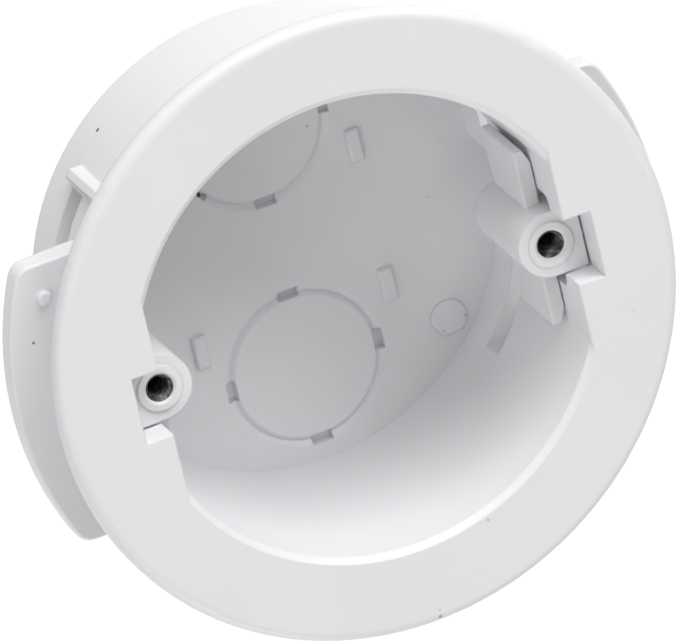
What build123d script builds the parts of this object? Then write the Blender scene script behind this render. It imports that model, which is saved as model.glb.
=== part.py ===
from build123d import *
import os

# Round back box for a hollow wall: one moulded cup with a flange, and two sliding lugs that grip the board.
# The box lies on its back. +Z points out of the mouth, X runs along the line of the two fixing screws,
# and the origin is the centre of the back face. A depth is always counted back from the flange's front face.

# Fixing screws
screw_spacing = 60.3
thread_bore_r = 1.45
insert_r = 2.05
insert_length = 8.0
insert_recess = 0.4

# Cup and flange
box_depth = 38.2
floor_thickness = 2.2
wall_thickness = 3.0
mouth_r = 34.2
cup_draft = 0.95
wall_draft = 0.8
back_edge = 1.0
flange_r = 46.7
flange_thickness = 2.3
flange_edge_r = 1.5
mouth_edge = 0.9
flat_offset = 31.2
flat_edge_r = 0.3

# Openings for the lugs in each side of the cup
notch_depth = 5.2
notch_gap = 0.2
pocket_half_width = 7.2
pocket_corner_r = 1.5
pocket_skin_gap = 0.3
stem_front_depth = 8.0
ear_slot_side_gap = 1.1
ear_slot_gap = 0.2
boss_well_gap = 1.4

# Guide ribs beside each opening, up to the cut-out's own radius
cutout_r = 38.0
rib_offset = 24.2
rib_thickness = 1.0
rib_overrun = 0.8
rib_root = 1.1

# Knock-outs, pads and marks on the floor
knockout_r = 10.6
knockout_offset = 18.7
groove_width = 1.4
groove_bottom = 0.6
groove_depth = 0.6
slot_length = 3.1
slot_width = 1.5
slot_depth = 1.2
pad_width = 2.0
pad_length = 4.9
pad_height = 0.8
pad_edge = 0.2
pad_x = 14.5
pad_y = 11.0
drain_r = 2.8
drain_flat_offset = 2.4
drain_flat_angles = (215, 275)
drain_height = 0.3
drain_x = 22.1
drain_y = 19.35

# Lugs
boss_r = 4.9
boss_front_depth = 5.0
boss_length = 16.8
boss_ring_r = 3.4
boss_ring_step = 0.25
boss_hole_edge = 0.35
screw_clearance_r = 1.85
tab_reach = 4.85
plate_half_width = 13.6
plate_front_depth = 8.7
plate_length = 12.3
plate_thickness = 2.2
plate_edge = 0.25
plate_gap = 0.2
neck_gap = 0.3
board_min = 9.3
lug_travel = 13.9
ear_r = 49.25
ear_half_width = 21.5
ear_thickness = 3.6
ear_tip_thickness = 3.0
ear_wall_gap = 0.4
ear_corner_r = 2.6
ear_edge = 0.35
nub_r = 1.1
nub_height = 0.9
nub_edge = 0.4
nub_x = 41.6
nub_y = 16.4

# Levels and radii worked out from the sizes above
mouth_z = box_depth
flange_back_z = box_depth - flange_thickness
screw_x = screw_spacing / 2
wall_mouth_r = mouth_r + wall_thickness
wall_back_r = wall_mouth_r - wall_draft
cup_floor_r = mouth_r - cup_draft
tab_x = screw_x + tab_reach
pocket_x = tab_x + pocket_skin_gap
plate_outer_x = flat_offset - plate_gap
neck_half_width = pocket_half_width - neck_gap
ear_front_depth = flange_thickness + board_min
ear_back_depth = ear_front_depth + ear_thickness
ear_slot_half_width = ear_half_width + ear_slot_side_gap
ear_slot_front_depth = ear_front_depth + lug_travel - ear_slot_gap
ear_slot_back_depth = ear_back_depth + lug_travel + ear_slot_gap
beyond_box = flange_r * 1.2

# How far a cutting shape runs past the surface that it cuts
cut_clear = 1.0


def level(depth):
    """Height above the back face of a depth behind the flange's front face."""
    return box_depth - depth


def block(x0, x1, y0, y1, z0, z1):
    """Box between two corners."""
    centre = ((x0 + x1) / 2, (y0 + y1) / 2, (z0 + z1) / 2)
    return Pos(*centre) * Box(x1 - x0, y1 - y0, z1 - z0)


def slab(x0, x1, half_width, front_depth, back_depth):
    """Box centred on the screw line, between two distances from the axis and two depths."""
    return block(x0, x1, -half_width, half_width, level(back_depth), level(front_depth))


def disc(radius, z0, z1, x=0.0, y=0.0):
    """Upright cylinder between two heights."""
    return Pos(x, y, (z0 + z1) / 2) * Cylinder(radius, z1 - z0)


# A flat stands on each side of the bore, beside the screws
def make_flat(side):
    fill_r = (mouth_r + wall_mouth_r) / 2
    flat = disc(fill_r, floor_thickness / 2, mouth_z)
    flat &= block(flat_offset, fill_r, -mouth_r, mouth_r, 0, mouth_z)
    inner_edge = flat.edges().group_by(Axis.Z)[-1].sort_by(Axis.X)[0]
    flat = fillet(inner_edge, flat_edge_r)
    return Rot(0, 0, 90 - 90 * side) * flat


# The cup and flange are one turned form, hollowed by a drafted bore
def make_shell():
    wall = Pos(0, 0, box_depth / 2) * Cone(wall_back_r, wall_mouth_r, box_depth)
    wall = chamfer(wall.edges().group_by(Axis.Z)[0], back_edge)
    flange = disc(flange_r, flange_back_z, mouth_z)
    flange = fillet(flange.edges().group_by(Axis.Z)[-1], flange_edge_r)
    bore_height = box_depth - floor_thickness
    bore = Pos(0, 0, floor_thickness + bore_height / 2) * Cone(cup_floor_r, mouth_r, bore_height)
    shell = wall + flange - bore
    mouth = shell.faces().sort_by(Axis.Z)[-1].inner_wires()[0]
    shell = chamfer(mouth.edges(), mouth_edge)
    for side in (1, -1):
        shell += make_flat(side)
    return shell


# Each side has a notch for the lug's tab, a pocket and stem for its boss and neck, and a slot for its ear
def make_side_opening():
    notch_half_width = boss_r + notch_gap
    notch = slab(0, pocket_x, notch_half_width, -cut_clear, notch_depth)
    pocket = slab(0, pocket_x, pocket_half_width, notch_depth, stem_front_depth)
    shoulder = pocket.edges().filter_by(Axis.X).group_by(Axis.Z)[-1]
    pocket = fillet(shoulder, pocket_corner_r)
    stem = slab(0, beyond_box, pocket_half_width, stem_front_depth, ear_slot_back_depth)
    ear_slot = slab(screw_x / 2, beyond_box, ear_slot_half_width, ear_slot_front_depth, ear_slot_back_depth)
    well_depth = box_depth - floor_thickness
    well = slab(0, pocket_x, boss_r + boss_well_gap, ear_slot_back_depth, well_depth)
    return notch + pocket + stem + ear_slot + well


# A rib stands beside each end of the ear slot, from the flange to just behind the slot
def make_rib(side, end):
    low_z = level(ear_slot_back_depth + rib_overrun)
    rib = block(0, cutout_r, rib_offset, rib_offset + rib_thickness, low_z, flange_back_z)
    rib &= disc(cutout_r, low_z, flange_back_z)
    rib -= disc(wall_back_r - rib_root, low_z, flange_back_z)
    if end < 0:
        rib = mirror(rib, Plane.XZ)
    return Rot(0, 0, 90 - 90 * side) * rib


# A knock-out is ringed by a V-shaped groove with four deeper slots across it
def make_knockout_cut(y):
    outer_r = knockout_r + groove_width
    top_z = floor_thickness + cut_clear
    profile = Plane.XZ * Polyline(
        (knockout_r, top_z),
        (knockout_r, floor_thickness),
        (knockout_r + groove_bottom, floor_thickness - groove_depth),
        (outer_r, floor_thickness),
        (outer_r, top_z),
        close=True,
    )
    cut = revolve(make_face(profile), Axis.Z)
    slot = block(knockout_r, knockout_r + slot_width, -slot_length / 2, slot_length / 2,
                 floor_thickness - slot_depth, top_z)
    for turn in (0, 90, 180, 270):
        cut += Rot(0, 0, turn) * slot
    return Pos(0, y, 0) * cut


# Four low pads lie between the knock-outs
def make_pad(x, y):
    pad = block(x - pad_width / 2, x + pad_width / 2, y - pad_length / 2, y + pad_length / 2,
                floor_thickness / 2, floor_thickness + pad_height)
    return chamfer(pad.edges().group_by(Axis.Z)[-1], pad_edge)


# A low round mark with two flats that meet in a blunt point shows where a drain hole may be drilled
def make_drain_mark(turn):
    low_z = floor_thickness / 2
    top_z = floor_thickness + drain_height
    mark = disc(drain_r, low_z, top_z)
    for angle in drain_flat_angles:
        mark -= Rot(0, 0, angle) * block(drain_flat_offset, drain_r * 2, -drain_r, drain_r, low_z, top_z)
    return Rot(0, 0, turn) * Pos(drain_x, -drain_y, 0) * mark


def make_box_body():
    body = make_shell()
    for side in (1, -1):
        for end in (1, -1):
            body += make_rib(side, end)
    opening = make_side_opening()
    body -= opening
    body -= Rot(0, 0, 180) * opening
    for y in (knockout_offset, -knockout_offset):
        body -= make_knockout_cut(y)
    for x in (pad_x, -pad_x):
        for y in (pad_y, -pad_y):
            body += make_pad(x, y)
    for turn in (0, 180):
        body += make_drain_mark(turn)
    return body


# The ear is a flat segment behind the flange, thinner towards its edge, with its inner edge round the cup
def make_ear():
    low_z = level(ear_back_depth)
    high_z = level(ear_front_depth)
    segment = disc(ear_r, low_z, high_z) & block(0, ear_r, -ear_half_width, ear_half_width, low_z, high_z)
    tips = segment.edges().filter_by(Axis.Z).group_by(Axis.X)[-1]
    segment = fillet(tips, ear_corner_r)
    segment -= disc(wall_mouth_r + ear_wall_gap, low_z - cut_clear, high_z + cut_clear)
    taper = Plane.XZ * Polyline(
        (wall_mouth_r, low_z),
        (ear_r + cut_clear, low_z),
        (ear_r + cut_clear, low_z + ear_thickness - ear_tip_thickness),
        close=True,
    )
    wedge = extrude(make_face(taper), ear_half_width + cut_clear, both=True)
    segment -= wedge
    rim = segment.edges().group_by(Axis.Z)[-1]
    return chamfer(rim, ear_edge)


# Boss, tab, guide plate, neck and ear are one moulding
def make_lug():
    boss_back_depth = boss_front_depth + boss_length
    boss = disc(boss_r, level(boss_back_depth), level(boss_front_depth), x=screw_x)
    tab = slab(screw_x, tab_x, boss_r, boss_front_depth, ear_back_depth)
    plate = slab(plate_outer_x - plate_thickness, plate_outer_x, plate_half_width,
                 plate_front_depth, plate_front_depth + plate_length)
    plate &= disc(cup_floor_r - plate_gap, floor_thickness, mouth_z)
    inner_rim = plate.faces().sort_by(Axis.X)[0].edges()
    plate = chamfer(inner_rim, plate_edge)
    neck = slab(plate_outer_x - plate_thickness / 2, wall_mouth_r + ear_thickness, neck_half_width,
                ear_front_depth, ear_back_depth)
    lug = boss + tab + plate + neck + make_ear()
    front_z = level(boss_front_depth)
    ring = disc(boss_r + tab_reach, front_z - boss_ring_step, front_z + cut_clear, x=screw_x)
    ring -= disc(boss_ring_r, front_z - boss_ring_step, front_z + cut_clear, x=screw_x)
    lug -= ring
    seat_z = front_z - insert_recess - insert_length
    lug -= disc(insert_r, seat_z, front_z + cut_clear, x=screw_x)
    lug -= disc(screw_clearance_r, level(boss_back_depth) - cut_clear, seat_z, x=screw_x)
    mouth_r_out = insert_r + boss_hole_edge
    lug -= Pos(screw_x, 0, front_z - boss_hole_edge / 2) * Cone(insert_r, mouth_r_out, boss_hole_edge)
    nub_top_z = level(ear_front_depth) + nub_height
    nub = disc(nub_r, level(ear_back_depth) + ear_tip_thickness / 2, nub_top_z, x=nub_x, y=-nub_y)
    nub = chamfer(nub.edges().group_by(Axis.Z)[-1], nub_edge)
    return lug + nub


# A threaded sleeve sits in each boss, just below its face
def make_insert():
    top_z = level(boss_front_depth + insert_recess)
    sleeve = disc(insert_r, top_z - insert_length, top_z, x=screw_x)
    return sleeve - disc(thread_bore_r, top_z - insert_length, top_z, x=screw_x)


half_turn = Rot(0, 0, 180)
lug = make_lug()
insert = make_insert()
parts = {
    "box_body": make_box_body(),
    "right_lug": lug,
    "left_lug": half_turn * lug,
    "right_insert": insert,
    "left_insert": half_turn * insert,
}

os.makedirs("parts", exist_ok=True)
for name, shape in parts.items():
    export_step(shape, f"parts/{name}.step")
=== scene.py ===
import math

import bpy
import numpy as np
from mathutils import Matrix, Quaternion, Vector


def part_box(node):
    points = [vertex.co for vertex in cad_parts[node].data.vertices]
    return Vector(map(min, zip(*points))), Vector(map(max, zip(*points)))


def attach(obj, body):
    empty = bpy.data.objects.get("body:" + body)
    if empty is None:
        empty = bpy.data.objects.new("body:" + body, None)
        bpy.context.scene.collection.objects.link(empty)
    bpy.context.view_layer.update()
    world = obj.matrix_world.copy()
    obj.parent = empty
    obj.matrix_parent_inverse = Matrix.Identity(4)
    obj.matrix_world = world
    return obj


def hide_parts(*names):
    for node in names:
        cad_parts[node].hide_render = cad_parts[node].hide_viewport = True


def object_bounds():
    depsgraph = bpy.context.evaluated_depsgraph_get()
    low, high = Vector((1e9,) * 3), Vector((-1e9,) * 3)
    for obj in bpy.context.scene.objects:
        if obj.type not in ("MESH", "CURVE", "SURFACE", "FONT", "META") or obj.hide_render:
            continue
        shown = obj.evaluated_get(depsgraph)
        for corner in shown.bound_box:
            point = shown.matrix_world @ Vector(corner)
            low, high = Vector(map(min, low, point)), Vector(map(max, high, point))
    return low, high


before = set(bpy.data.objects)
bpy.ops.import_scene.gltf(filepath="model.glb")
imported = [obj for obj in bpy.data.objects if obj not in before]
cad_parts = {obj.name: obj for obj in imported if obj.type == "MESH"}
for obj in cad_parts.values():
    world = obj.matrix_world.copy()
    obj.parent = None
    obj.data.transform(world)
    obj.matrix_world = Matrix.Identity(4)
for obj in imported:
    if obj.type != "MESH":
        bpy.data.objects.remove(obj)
cad_low, cad_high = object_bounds()


# Studio. The box lies on its back on a pale floor, and a long lens looks down into the mouth from
# the side of the upper knock-out, with the picture turned so that the screws run from lower left to
# upper right. Two wide soft lamps stand on the +Y side, smaller ones on the -Y and -X sides, and
# the sky fills the rest.
def view_direction(azimuth, elevation):
    """Unit vector from the object to a viewer: azimuth turns from -Y towards +X, elevation is above
    the floor."""
    a, e = math.radians(azimuth), math.radians(elevation)
    return Vector((math.sin(a) * math.cos(e), -math.cos(a) * math.cos(e), math.sin(e)))


def aim(thing, target, azimuth, elevation, distance, roll=0.0):
    """Places a camera or lamp at a distance from the target, facing it, and rolls it about its own
    line of sight."""
    back = view_direction(azimuth, elevation)
    upright = (-back).to_track_quat("-Z", "Y")
    thing.location = Vector(target) + back * distance
    thing.rotation_mode = "QUATERNION"
    thing.rotation_quaternion = upright @ Quaternion((0, 0, 1), math.radians(roll))


mouth_level = cad_high.z
camera_target = (-0.00392, 0.00248, mouth_level)
camera_data = bpy.data.cameras.new("camera")
camera_data.sensor_width = 36.0
camera_data.lens = 1376.5
camera = bpy.data.objects.new("camera", camera_data)
bpy.context.scene.collection.objects.link(camera)
aim(camera, camera_target, azimuth=-147.9, elevation=61.5, distance=3.6329, roll=130.92)
bpy.context.scene.camera = camera

lamp_target = (0.0, 0.0, mouth_level)
lamp_distance = 2.5


def add_softbox(name, azimuth, elevation, size, power):
    """A square area lamp that faces the middle of the mouth."""
    lamp_data = bpy.data.lights.new(name, "AREA")
    lamp_data.shape = "SQUARE"
    lamp_data.size = size
    lamp_data.energy = power
    lamp = bpy.data.objects.new(name, lamp_data)
    bpy.context.scene.collection.objects.link(lamp)
    aim(lamp, lamp_target, azimuth, elevation, lamp_distance)


add_softbox("key_softbox", azimuth=150.0, elevation=26.0, size=1.5, power=38.5)
add_softbox("back_softbox", azimuth=180.0, elevation=19.0, size=1.3, power=18.0)
add_softbox("front_softbox", azimuth=-10.0, elevation=20.0, size=0.9, power=20.0)
add_softbox("fill_softbox", azimuth=-70.0, elevation=40.0, size=0.9, power=9.3)
add_softbox("left_softbox", azimuth=-95.0, elevation=11.0, size=0.8, power=6.0)

# The camera sees a white sky, while the weaker one lights the box.
white = (1.0, 1.0, 1.0, 1.0)
sky_light_strength = 0.39
sky_white_strength = 1.0
world = bpy.data.worlds.new("studio_sky")
bpy.context.scene.world = world
world.use_nodes = True
sky_nodes, sky_links = world.node_tree.nodes, world.node_tree.links
sky_nodes.clear()
sky_output = sky_nodes.new("ShaderNodeOutputWorld")
sky_mix = sky_nodes.new("ShaderNodeMixShader")
sky_light = sky_nodes.new("ShaderNodeBackground")
sky_light.inputs["Color"].default_value = white
sky_light.inputs["Strength"].default_value = sky_light_strength
sky_white = sky_nodes.new("ShaderNodeBackground")
sky_white.inputs["Color"].default_value = white
sky_white.inputs["Strength"].default_value = sky_white_strength
sky_rays = sky_nodes.new("ShaderNodeLightPath")
sky_links.new(sky_rays.outputs["Is Camera Ray"], sky_mix.inputs["Fac"])
sky_links.new(sky_light.outputs["Background"], sky_mix.inputs[1])
sky_links.new(sky_white.outputs["Background"], sky_mix.inputs[2])
sky_links.new(sky_mix.outputs["Shader"], sky_output.inputs["Surface"])

# The floor lies a hair below the box, because two faces in one plane flicker. It glows only for the
# camera and in reflections, so that it looks white there while its paint stays grey.
floor_half = 1.5
floor_gap = 0.00005
floor_level = cad_low.z - floor_gap
floor_grey = (0.42, 0.42, 0.43, 1.0)
floor_glow_strength = 0.82
floor_mesh = bpy.data.meshes.new("studio_floor")
floor_mesh.from_pydata(
    [(-floor_half, -floor_half, floor_level), (floor_half, -floor_half, floor_level),
     (floor_half, floor_half, floor_level), (-floor_half, floor_half, floor_level)],
    [], [(0, 1, 2, 3)])
studio_floor = bpy.data.objects.new("studio_floor", floor_mesh)
bpy.context.scene.collection.objects.link(studio_floor)
floor_paint = bpy.data.materials.new("floor_paint")
floor_paint.use_nodes = True
floor_nodes, floor_links = floor_paint.node_tree.nodes, floor_paint.node_tree.links
floor_nodes.clear()
floor_output = floor_nodes.new("ShaderNodeOutputMaterial")
floor_matt = floor_nodes.new("ShaderNodeBsdfDiffuse")
floor_matt.inputs["Color"].default_value = floor_grey
floor_glow = floor_nodes.new("ShaderNodeEmission")
floor_glow.inputs["Color"].default_value = white
floor_rays = floor_nodes.new("ShaderNodeLightPath")
floor_seen = floor_nodes.new("ShaderNodeMath")
floor_seen.operation = "ADD"
floor_share = floor_nodes.new("ShaderNodeMath")
floor_share.operation = "MULTIPLY"
floor_share.inputs[1].default_value = floor_glow_strength
floor_sum = floor_nodes.new("ShaderNodeAddShader")
floor_links.new(floor_rays.outputs["Is Camera Ray"], floor_seen.inputs[0])
floor_links.new(floor_rays.outputs["Is Glossy Ray"], floor_seen.inputs[1])
floor_links.new(floor_seen.outputs["Value"], floor_share.inputs[0])
floor_links.new(floor_share.outputs["Value"], floor_glow.inputs["Strength"])
floor_links.new(floor_matt.outputs["BSDF"], floor_sum.inputs[0])
floor_links.new(floor_glow.outputs["Emission"], floor_sum.inputs[1])
floor_links.new(floor_sum.outputs["Shader"], floor_output.inputs["Surface"])
floor_mesh.materials.append(floor_paint)
bpy.context.scene.view_settings.view_transform = "Standard"


# Box body: one injection moulding in white polypropylene, with its flange, ribs and knock-outs.
# It keeps the mesh of the solids. Its satin skin has a faint mottle, fine tool grain, softened
# edges and a few dark specks; two of them are painted shade along the lines of the drain mark.
mottle_scale = 60.0
mottle_detail = 3.0
grain_scale = 2500.0
grain_detail = 2.0
grain_height = 0.00001
grain_strength = 0.5


def make_satin_skin_group():
    """Node group: a faint mottle mask and a normal with fine tool grain, both from the object's own
    coordinates."""
    group = bpy.data.node_groups.new("satin_skin", "ShaderNodeTree")
    for name, value in (("Mottle Scale", mottle_scale), ("Grain Scale", grain_scale),
                        ("Grain Height", grain_height)):
        socket = group.interface.new_socket(name, in_out="INPUT", socket_type="NodeSocketFloat")
        socket.default_value = value
    group.interface.new_socket("Edge Normal", in_out="INPUT", socket_type="NodeSocketVector")
    group.interface.new_socket("Mottle", in_out="OUTPUT", socket_type="NodeSocketFloat")
    group.interface.new_socket("Normal", in_out="OUTPUT", socket_type="NodeSocketVector")
    nodes, links = group.nodes, group.links
    given = nodes.new("NodeGroupInput")
    result = nodes.new("NodeGroupOutput")
    place = nodes.new("ShaderNodeTexCoord")
    mottle = nodes.new("ShaderNodeTexNoise")
    mottle.inputs["Detail"].default_value = mottle_detail
    grain = nodes.new("ShaderNodeTexNoise")
    grain.inputs["Detail"].default_value = grain_detail
    height = nodes.new("ShaderNodeMath")
    height.operation = "MULTIPLY"
    bump = nodes.new("ShaderNodeBump")
    bump.inputs["Strength"].default_value = grain_strength
    bump.inputs["Distance"].default_value = 1.0
    links.new(place.outputs["Object"], mottle.inputs["Vector"])
    links.new(place.outputs["Object"], grain.inputs["Vector"])
    links.new(given.outputs["Mottle Scale"], mottle.inputs["Scale"])
    links.new(given.outputs["Grain Scale"], grain.inputs["Scale"])
    links.new(grain.outputs["Fac"], height.inputs[0])
    links.new(given.outputs["Grain Height"], height.inputs[1])
    links.new(height.outputs["Value"], bump.inputs["Height"])
    links.new(given.outputs["Edge Normal"], bump.inputs["Normal"])
    links.new(mottle.outputs["Fac"], result.inputs["Mottle"])
    links.new(bump.outputs["Normal"], result.inputs["Normal"])
    return group


satin_skin = make_satin_skin_group()

# Small dark specks: name, place and radius in metres, and strength from 0 to 1. The two on the
# drain mark are painted shade along its raised lines.
specks = [
    ("cup side", (-0.02267, 0.02864, 0.00666), 0.00042, 0.98),
    ("ear", (-0.04460, 0.01032, 0.02660), 0.00030, 0.70),
    ("floor near the boss", (0.02319, -0.00059, 0.00220), 0.00022, 0.22),
    ("upper knock-out", (0.00848, 0.01613, 0.00220), 0.00030, 0.28),
    ("edge of the upper groove", (-0.00922, 0.01176, 0.00187), 0.00055, 0.97),
    ("beside the upper groove", (-0.00861, 0.01118, 0.00178), 0.00075, 0.50),
    ("mouth edge", (0.01031, -0.03422, 0.03820), 0.00025, 0.40),
    ("lower flange edge", (0.00040, -0.04473, 0.03820), 0.00028, 0.22),
    ("beyond the lower flange edge", (0.00028, -0.04578, 0.03808), 0.00040, 0.50),
    ("right of the flange", (0.03822, -0.01155, 0.03820), 0.00030, 0.16),
    # Painted shade: these two darken the raised lines of the drain mark, where its relief is
    # shaded.
    ("painted shade on the drain mark, upper", (0.02451, -0.01972, 0.00250), 0.00028, 0.30),
    ("painted shade on the drain mark, lower", (0.02095, -0.02093, 0.00250), 0.00026, 0.22),
]


def make_specks_group():
    """Node group: mask of the specks. Each is
    strength * (1 - smoothstep(radius / 2, radius, distance to its place)),
    and the strongest wins."""
    group = bpy.data.node_groups.new("specks_and_painted_shade", "ShaderNodeTree")
    group.interface.new_socket("Specks", in_out="OUTPUT", socket_type="NodeSocketFloat")
    nodes, links = group.nodes, group.links
    result = nodes.new("NodeGroupOutput")
    place = nodes.new("ShaderNodeTexCoord")
    strongest = None
    for name, centre, radius, strength in specks:
        distance = nodes.new("ShaderNodeVectorMath")
        distance.operation = "DISTANCE"
        distance.label = name
        distance.inputs[1].default_value = centre
        spot = nodes.new("ShaderNodeMapRange")
        spot.interpolation_type = "SMOOTHSTEP"
        spot.inputs["From Min"].default_value = radius / 2
        spot.inputs["From Max"].default_value = radius
        spot.inputs["To Min"].default_value = strength
        spot.inputs["To Max"].default_value = 0.0
        links.new(place.outputs["Object"], distance.inputs[0])
        links.new(distance.outputs["Value"], spot.inputs["Value"])
        if strongest is None:
            strongest = spot.outputs["Result"]
        else:
            larger = nodes.new("ShaderNodeMath")
            larger.operation = "MAXIMUM"
            links.new(strongest, larger.inputs[0])
            links.new(spot.outputs["Result"], larger.inputs[1])
            strongest = larger.outputs["Value"]
    links.new(strongest, result.inputs["Specks"])
    return group


specks_and_painted_shade = make_specks_group()
# One dark colour for the specks and for the painted shade on the drain mark.
speck_and_painted_shade_colour = (0.03, 0.028, 0.025, 1.0)
darker_white = (0.80, 0.80, 0.815, 1.0)
lighter_white = (0.84, 0.84, 0.855, 1.0)
plastic_ior = 1.49
soft_edge_radius = 0.0004
soft_edge_samples = 6


def make_white_plastic(name, roughness):
    """White moulded plastic: the mottle mask blends two close whites, the specks darken it, and the
    tool grain breaks up the sheen. The Bevel node softens the light over the moulded edges."""
    material = bpy.data.materials.new(name)
    material.use_nodes = True
    nodes, links = material.node_tree.nodes, material.node_tree.links
    shader = nodes["Principled BSDF"]
    skin = nodes.new("ShaderNodeGroup")
    skin.node_tree = satin_skin
    tint = nodes.new("ShaderNodeMix")
    tint.data_type = "RGBA"
    tint.inputs["A"].default_value = darker_white
    tint.inputs["B"].default_value = lighter_white
    links.new(skin.outputs["Mottle"], tint.inputs["Factor"])
    soft_edge = nodes.new("ShaderNodeBevel")
    soft_edge.samples = soft_edge_samples
    soft_edge.inputs["Radius"].default_value = soft_edge_radius
    # The specks darken the colour; the two on the drain mark are painted shade.
    specks_and_shade = nodes.new("ShaderNodeGroup")
    specks_and_shade.node_tree = specks_and_painted_shade
    speckled_and_shaded = nodes.new("ShaderNodeMix")
    speckled_and_shaded.data_type = "RGBA"
    speckled_and_shaded.inputs["B"].default_value = speck_and_painted_shade_colour
    links.new(specks_and_shade.outputs["Specks"], speckled_and_shaded.inputs["Factor"])
    links.new(tint.outputs["Result"], speckled_and_shaded.inputs["A"])
    links.new(speckled_and_shaded.outputs["Result"], shader.inputs["Base Color"])
    links.new(soft_edge.outputs["Normal"], skin.inputs["Edge Normal"])
    links.new(skin.outputs["Normal"], shader.inputs["Normal"])
    shader.inputs["Roughness"].default_value = roughness
    shader.inputs["IOR"].default_value = plastic_ior
    return material


body_plastic = make_white_plastic("body_plastic", roughness=0.42)
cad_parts["box_body"].data.materials[0] = body_plastic


# Lugs: two mouldings in the same white plastic, a little glossier, each on its own fixing screw.
# They keep the mesh of the solids, and each slides in its opening in the side of the box.
lug_plastic = make_white_plastic("lug_plastic", roughness=0.38)
for lug in ("right_lug", "left_lug"):
    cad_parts[lug].data.materials[0] = lug_plastic


# Inserts: a turned steel sleeve in each boss, tapped for the fixing screw and countersunk at its
# mouth. The thread is cut here, so each sleeve takes the place of the plain one in the solids.
# The dull metal is blotched with swarf.
thread_pitch = 0.0006
thread_depth = 0.0003
turns_per_step = 1 / 10
angle_steps = 72
sleeve_wall = 0.0006
countersink_depth = 0.0005
countersink_rim = 0.00005


def threaded_sleeve(node):
    """Rings of points go down the outside, across the end face, up the tapped bore and across the
    other end. On the bore the radius is
    minor_r + thread_depth * (1 - |2 * phase - 1|), phase = fraction of (z / pitch - angle / 2 pi),
    or that of the countersink where it is wider. The countersink's radius falls evenly from rim_r
    at the mouth to minor_r at its depth."""
    low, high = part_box(node)
    centre = (low + high) / 2
    outer_r = (high.x - low.x) / 2
    minor_r = outer_r - sleeve_wall
    rim_r = outer_r - countersink_rim
    bore_steps = int((high.z - low.z) / (thread_pitch * turns_per_step))
    z_bore = np.linspace(low.z, high.z, bore_steps)
    z_ring = np.concatenate([[high.z, low.z], z_bore])
    angle = np.linspace(0.0, 2 * np.pi, angle_steps, endpoint=False)
    phase = (z_bore[:, None] / thread_pitch - angle[None, :] / (2 * np.pi)) % 1.0
    groove = minor_r + thread_depth * (1.0 - np.abs(2.0 * phase - 1.0))
    below_mouth = (high.z - z_bore[:, None]) / countersink_depth
    cone = rim_r - (rim_r - minor_r) * np.minimum(below_mouth, 1.0)
    ends = np.full((2, angle_steps), outer_r)
    radius = np.concatenate([ends, np.maximum(groove, cone)])
    x = centre.x + radius * np.cos(angle)
    y = centre.y + radius * np.sin(angle)
    z = np.broadcast_to(z_ring[:, None], radius.shape)
    points = np.stack([x, y, z], axis=-1).reshape(-1, 3)
    ring_count = len(z_ring)
    ring, step = np.meshgrid(np.arange(ring_count), np.arange(angle_steps), indexing="ij")
    row, next_row = ring * angle_steps, (ring + 1) % ring_count * angle_steps
    next_step = (step + 1) % angle_steps
    faces = np.stack([row + step, next_row + step, next_row + next_step, row + next_step], axis=-1)
    mesh = bpy.data.meshes.new(node + "_threaded")
    mesh.from_pydata(points.tolist(), [], faces.reshape(-1, 4).tolist())
    mesh.validate()
    sleeve = bpy.data.objects.new(node + "_threaded", mesh)
    bpy.context.scene.collection.objects.link(sleeve)
    return sleeve


swarf_scale = 1100.0
swarf_detail = 2.5
swarf_ramp = ((0.46, (0.06, 0.058, 0.053, 1.0)), (0.66, (0.24, 0.235, 0.22, 1.0)))
insert_metal = bpy.data.materials.new("insert_metal")
insert_metal.use_nodes = True
insert_nodes, insert_links = insert_metal.node_tree.nodes, insert_metal.node_tree.links
insert_shader = insert_nodes["Principled BSDF"]
insert_shader.inputs["Metallic"].default_value = 1.0
insert_shader.inputs["Roughness"].default_value = 0.48
swarf_place = insert_nodes.new("ShaderNodeTexCoord")
swarf_noise = insert_nodes.new("ShaderNodeTexNoise")
swarf_noise.inputs["Scale"].default_value = swarf_scale
swarf_noise.inputs["Detail"].default_value = swarf_detail
swarf_colour = insert_nodes.new("ShaderNodeValToRGB")
for stop, (position, colour) in zip(swarf_colour.color_ramp.elements, swarf_ramp):
    stop.position = position
    stop.color = colour
insert_links.new(swarf_place.outputs["Object"], swarf_noise.inputs["Vector"])
insert_links.new(swarf_noise.outputs["Fac"], swarf_colour.inputs["Fac"])
insert_links.new(swarf_colour.outputs["Color"], insert_shader.inputs["Base Color"])
for node, body in (("right_insert", "right_clamp"), ("left_insert", "left_clamp")):
    sleeve = threaded_sleeve(node)
    sleeve.data.materials.append(insert_metal)
    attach(sleeve, body)
    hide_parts(node)
